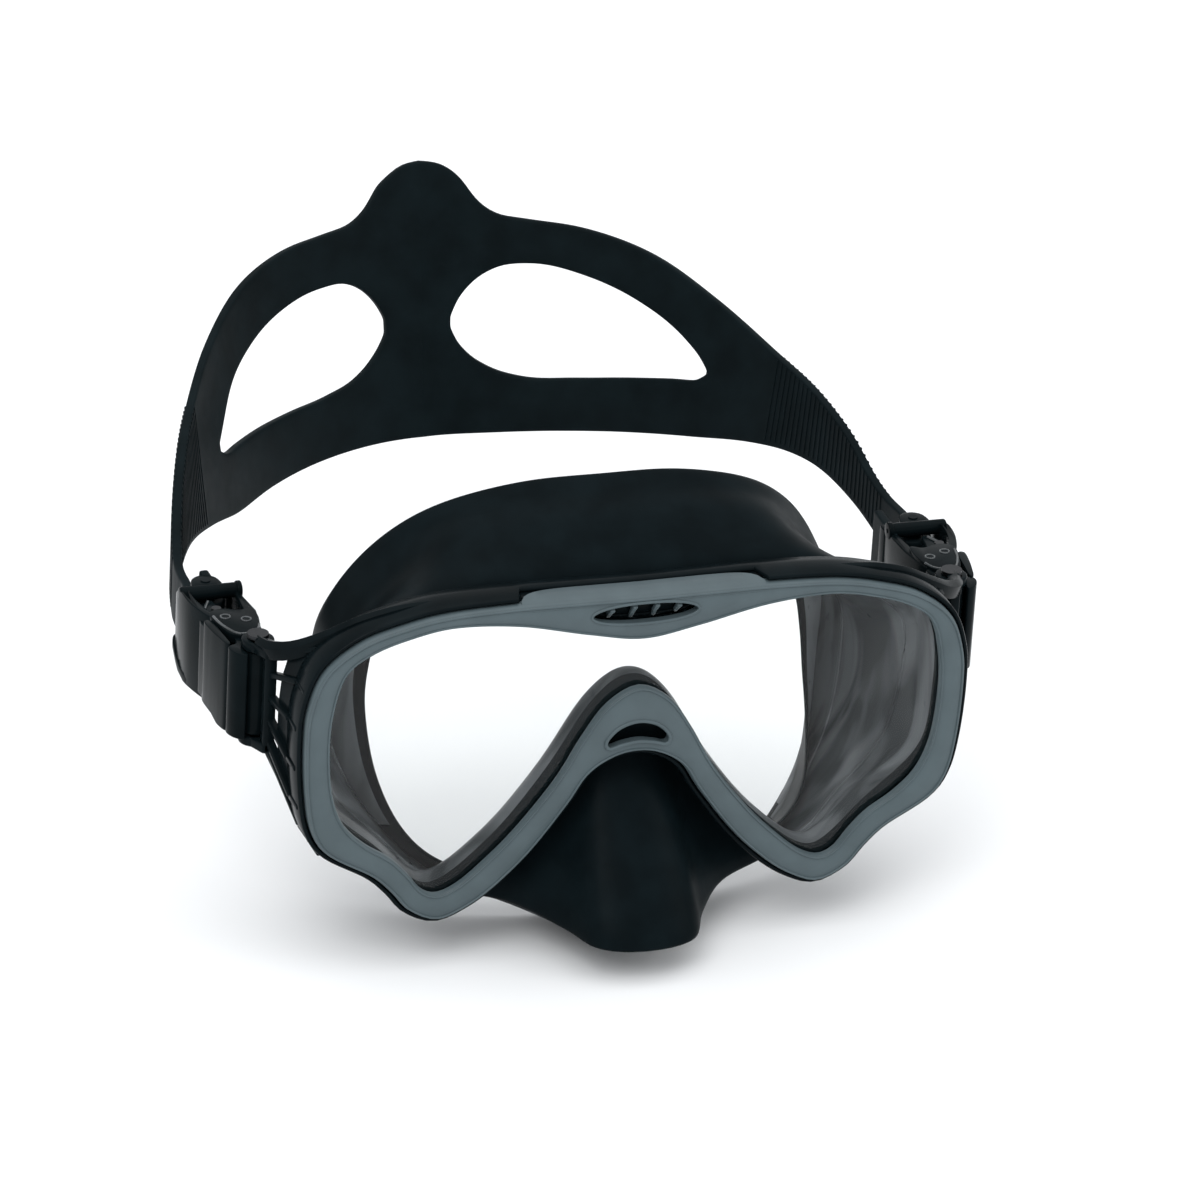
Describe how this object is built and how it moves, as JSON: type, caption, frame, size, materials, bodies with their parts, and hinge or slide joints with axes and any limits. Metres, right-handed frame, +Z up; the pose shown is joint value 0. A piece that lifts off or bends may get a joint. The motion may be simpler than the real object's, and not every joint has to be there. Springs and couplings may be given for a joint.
{
  "type": "diving mask",
  "caption": "Single-lens diving mask: silicone skirt with nose pocket, rigid frame with grey bezel, split head strap on swinging push-release buckles.",
  "frame": {"origin": "on the lens's front face, on the mid-plane, in the clear window above the nose arch", "axes": "-Y out through the lens (the way the wearer looks), +Z up, +X to the right of someone looking at the lens"},
  "size_m": [0.1976, 0.2168, 0.1255],
  "materials": {
    "lens_glass": "clear tempered glass",
    "grey_plastic": "satin blue-grey moulded plastic",
    "black_plastic": "semi-gloss black moulded plastic",
    "buckle_plastic": "glossy black moulded plastic",
    "lever_plastic": "semi-gloss charcoal moulded plastic",
    "skirt_silicone": "smooth near-black silicone",
    "strap_silicone": "matte near-black silicone",
    "pin_steel": "stainless steel"
  },
  "bodies": {
    "mask": {"lens": "lens_glass", "front_bezel": "grey_plastic", "bridge_grille": "black_plastic", "main_frame": "black_plastic", "skirt": "skirt_silicone", "strap": "strap_silicone", "hinge_pin_left": "pin_steel", "hinge_pin_right": "pin_steel"},
    "buckle_left": {"buckle_body_left": "buckle_plastic", "lever_pin_left": "pin_steel", "lever_spring_left": "pin_steel", "strap_end_left": "strap_silicone"},
    "buckle_right": {"buckle_body_right": "buckle_plastic", "lever_pin_right": "pin_steel", "lever_spring_right": "pin_steel", "strap_end_right": "strap_silicone"},
    "roller_left": {"strap_roller_left": "buckle_plastic"},
    "roller_right": {"strap_roller_right": "buckle_plastic"},
    "lever_left": {"release_lever_left": "lever_plastic"},
    "lever_right": {"release_lever_right": "lever_plastic"}
  },
  "joints": [
    {"name": "buckle_left_swing", "type": "hinge", "parent": "mask", "child": "buckle_left", "pos_m": [-0.088, 0.0245, -0.01125], "axis": [0, 0, 1], "range_deg": [-12, 20]},
    {"name": "buckle_right_swing", "type": "hinge", "parent": "mask", "child": "buckle_right", "pos_m": [0.088, 0.0245, -0.01125], "axis": [0, 0, -1], "range_deg": [-12, 20]},
    {"name": "roller_left_spin", "type": "hinge", "parent": "buckle_left", "child": "roller_left", "pos_m": [-0.0912, 0.061, -0.01125], "axis": [0, 0, 1], "continuous": true},
    {"name": "roller_right_spin", "type": "hinge", "parent": "buckle_right", "child": "roller_right", "pos_m": [0.0912, 0.061, -0.01125], "axis": [0, 0, 1], "continuous": true},
    {"name": "lever_left_press", "type": "hinge", "parent": "buckle_left", "child": "lever_left", "pos_m": [-0.0926, 0.0455, -0.01125], "axis": [0, 0, 1], "range_deg": [0, 5], "stiffness_Nm_per_rad": 0.05, "springref_deg": -5.73},
    {"name": "lever_right_press", "type": "hinge", "parent": "buckle_right", "child": "lever_right", "pos_m": [0.0926, 0.0455, -0.01125], "axis": [0, 0, -1], "range_deg": [0, 5], "stiffness_Nm_per_rad": 0.05, "springref_deg": -5.73}
  ]
}
